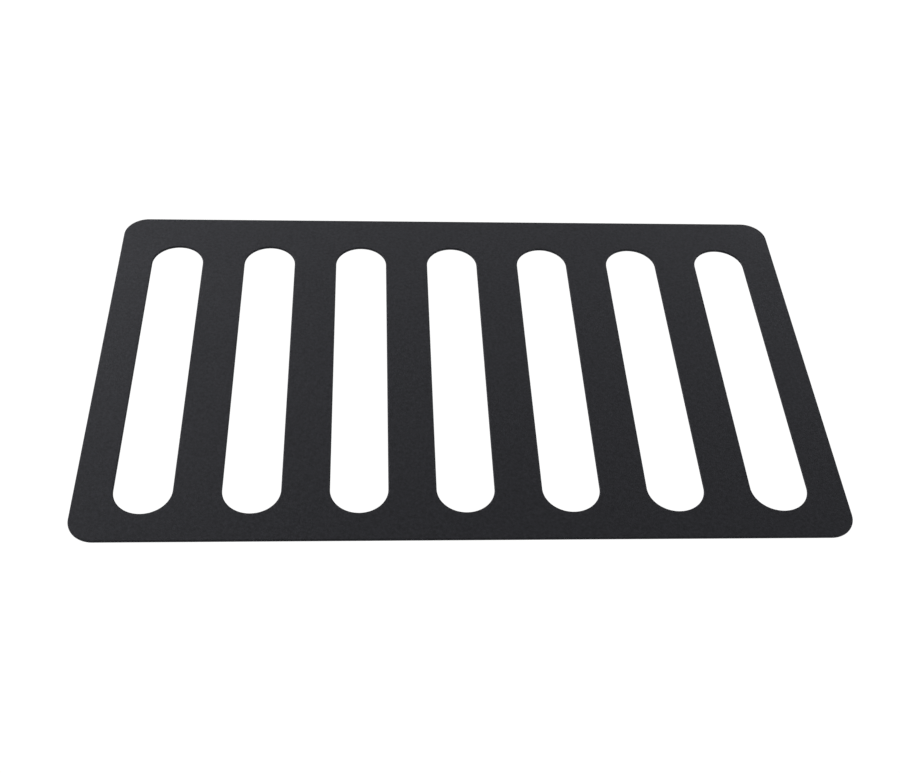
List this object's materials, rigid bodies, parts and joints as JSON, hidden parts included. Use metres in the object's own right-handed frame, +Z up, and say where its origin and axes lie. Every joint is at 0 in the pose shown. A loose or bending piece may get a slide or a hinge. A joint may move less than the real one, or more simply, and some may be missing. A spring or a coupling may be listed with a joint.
{
  "type": "pedalboard",
  "caption": "Flat metal pedalboard with long round-ended slots between bars for hook-and-loop tape, standing on low stick-on rubber feet.",
  "frame": {"origin": "on the floor, under the middle of the plate's outline", "axes": "+X along the board to the player's right, +Y away from the player to the back edge, +Z up"},
  "size_m": [0.4, 0.244, 0.006],
  "materials": {
    "powder_coat": "matte black powder coat with a fine sand texture",
    "rubber": "matte moulded black rubber",
    "adhesive_foam": "pale grey double-sided foam tape"
  },
  "bodies": {
    "root": {"deck_plate": "powder_coat", "foot_front_left": "rubber", "foot_front_mid_left": "rubber", "foot_front_mid_right": "rubber", "foot_front_right": "rubber", "foot_back_left": "rubber", "foot_back_mid_left": "rubber", "foot_back_mid_right": "rubber", "foot_back_right": "rubber", "foam_pad_front_left": "adhesive_foam", "foam_pad_front_mid_left": "adhesive_foam", "foam_pad_front_mid_right": "adhesive_foam", "foam_pad_front_right": "adhesive_foam", "foam_pad_back_left": "adhesive_foam", "foam_pad_back_mid_left": "adhesive_foam", "foam_pad_back_mid_right": "adhesive_foam", "foam_pad_back_right": "adhesive_foam"}
  },
  "joints": []
}
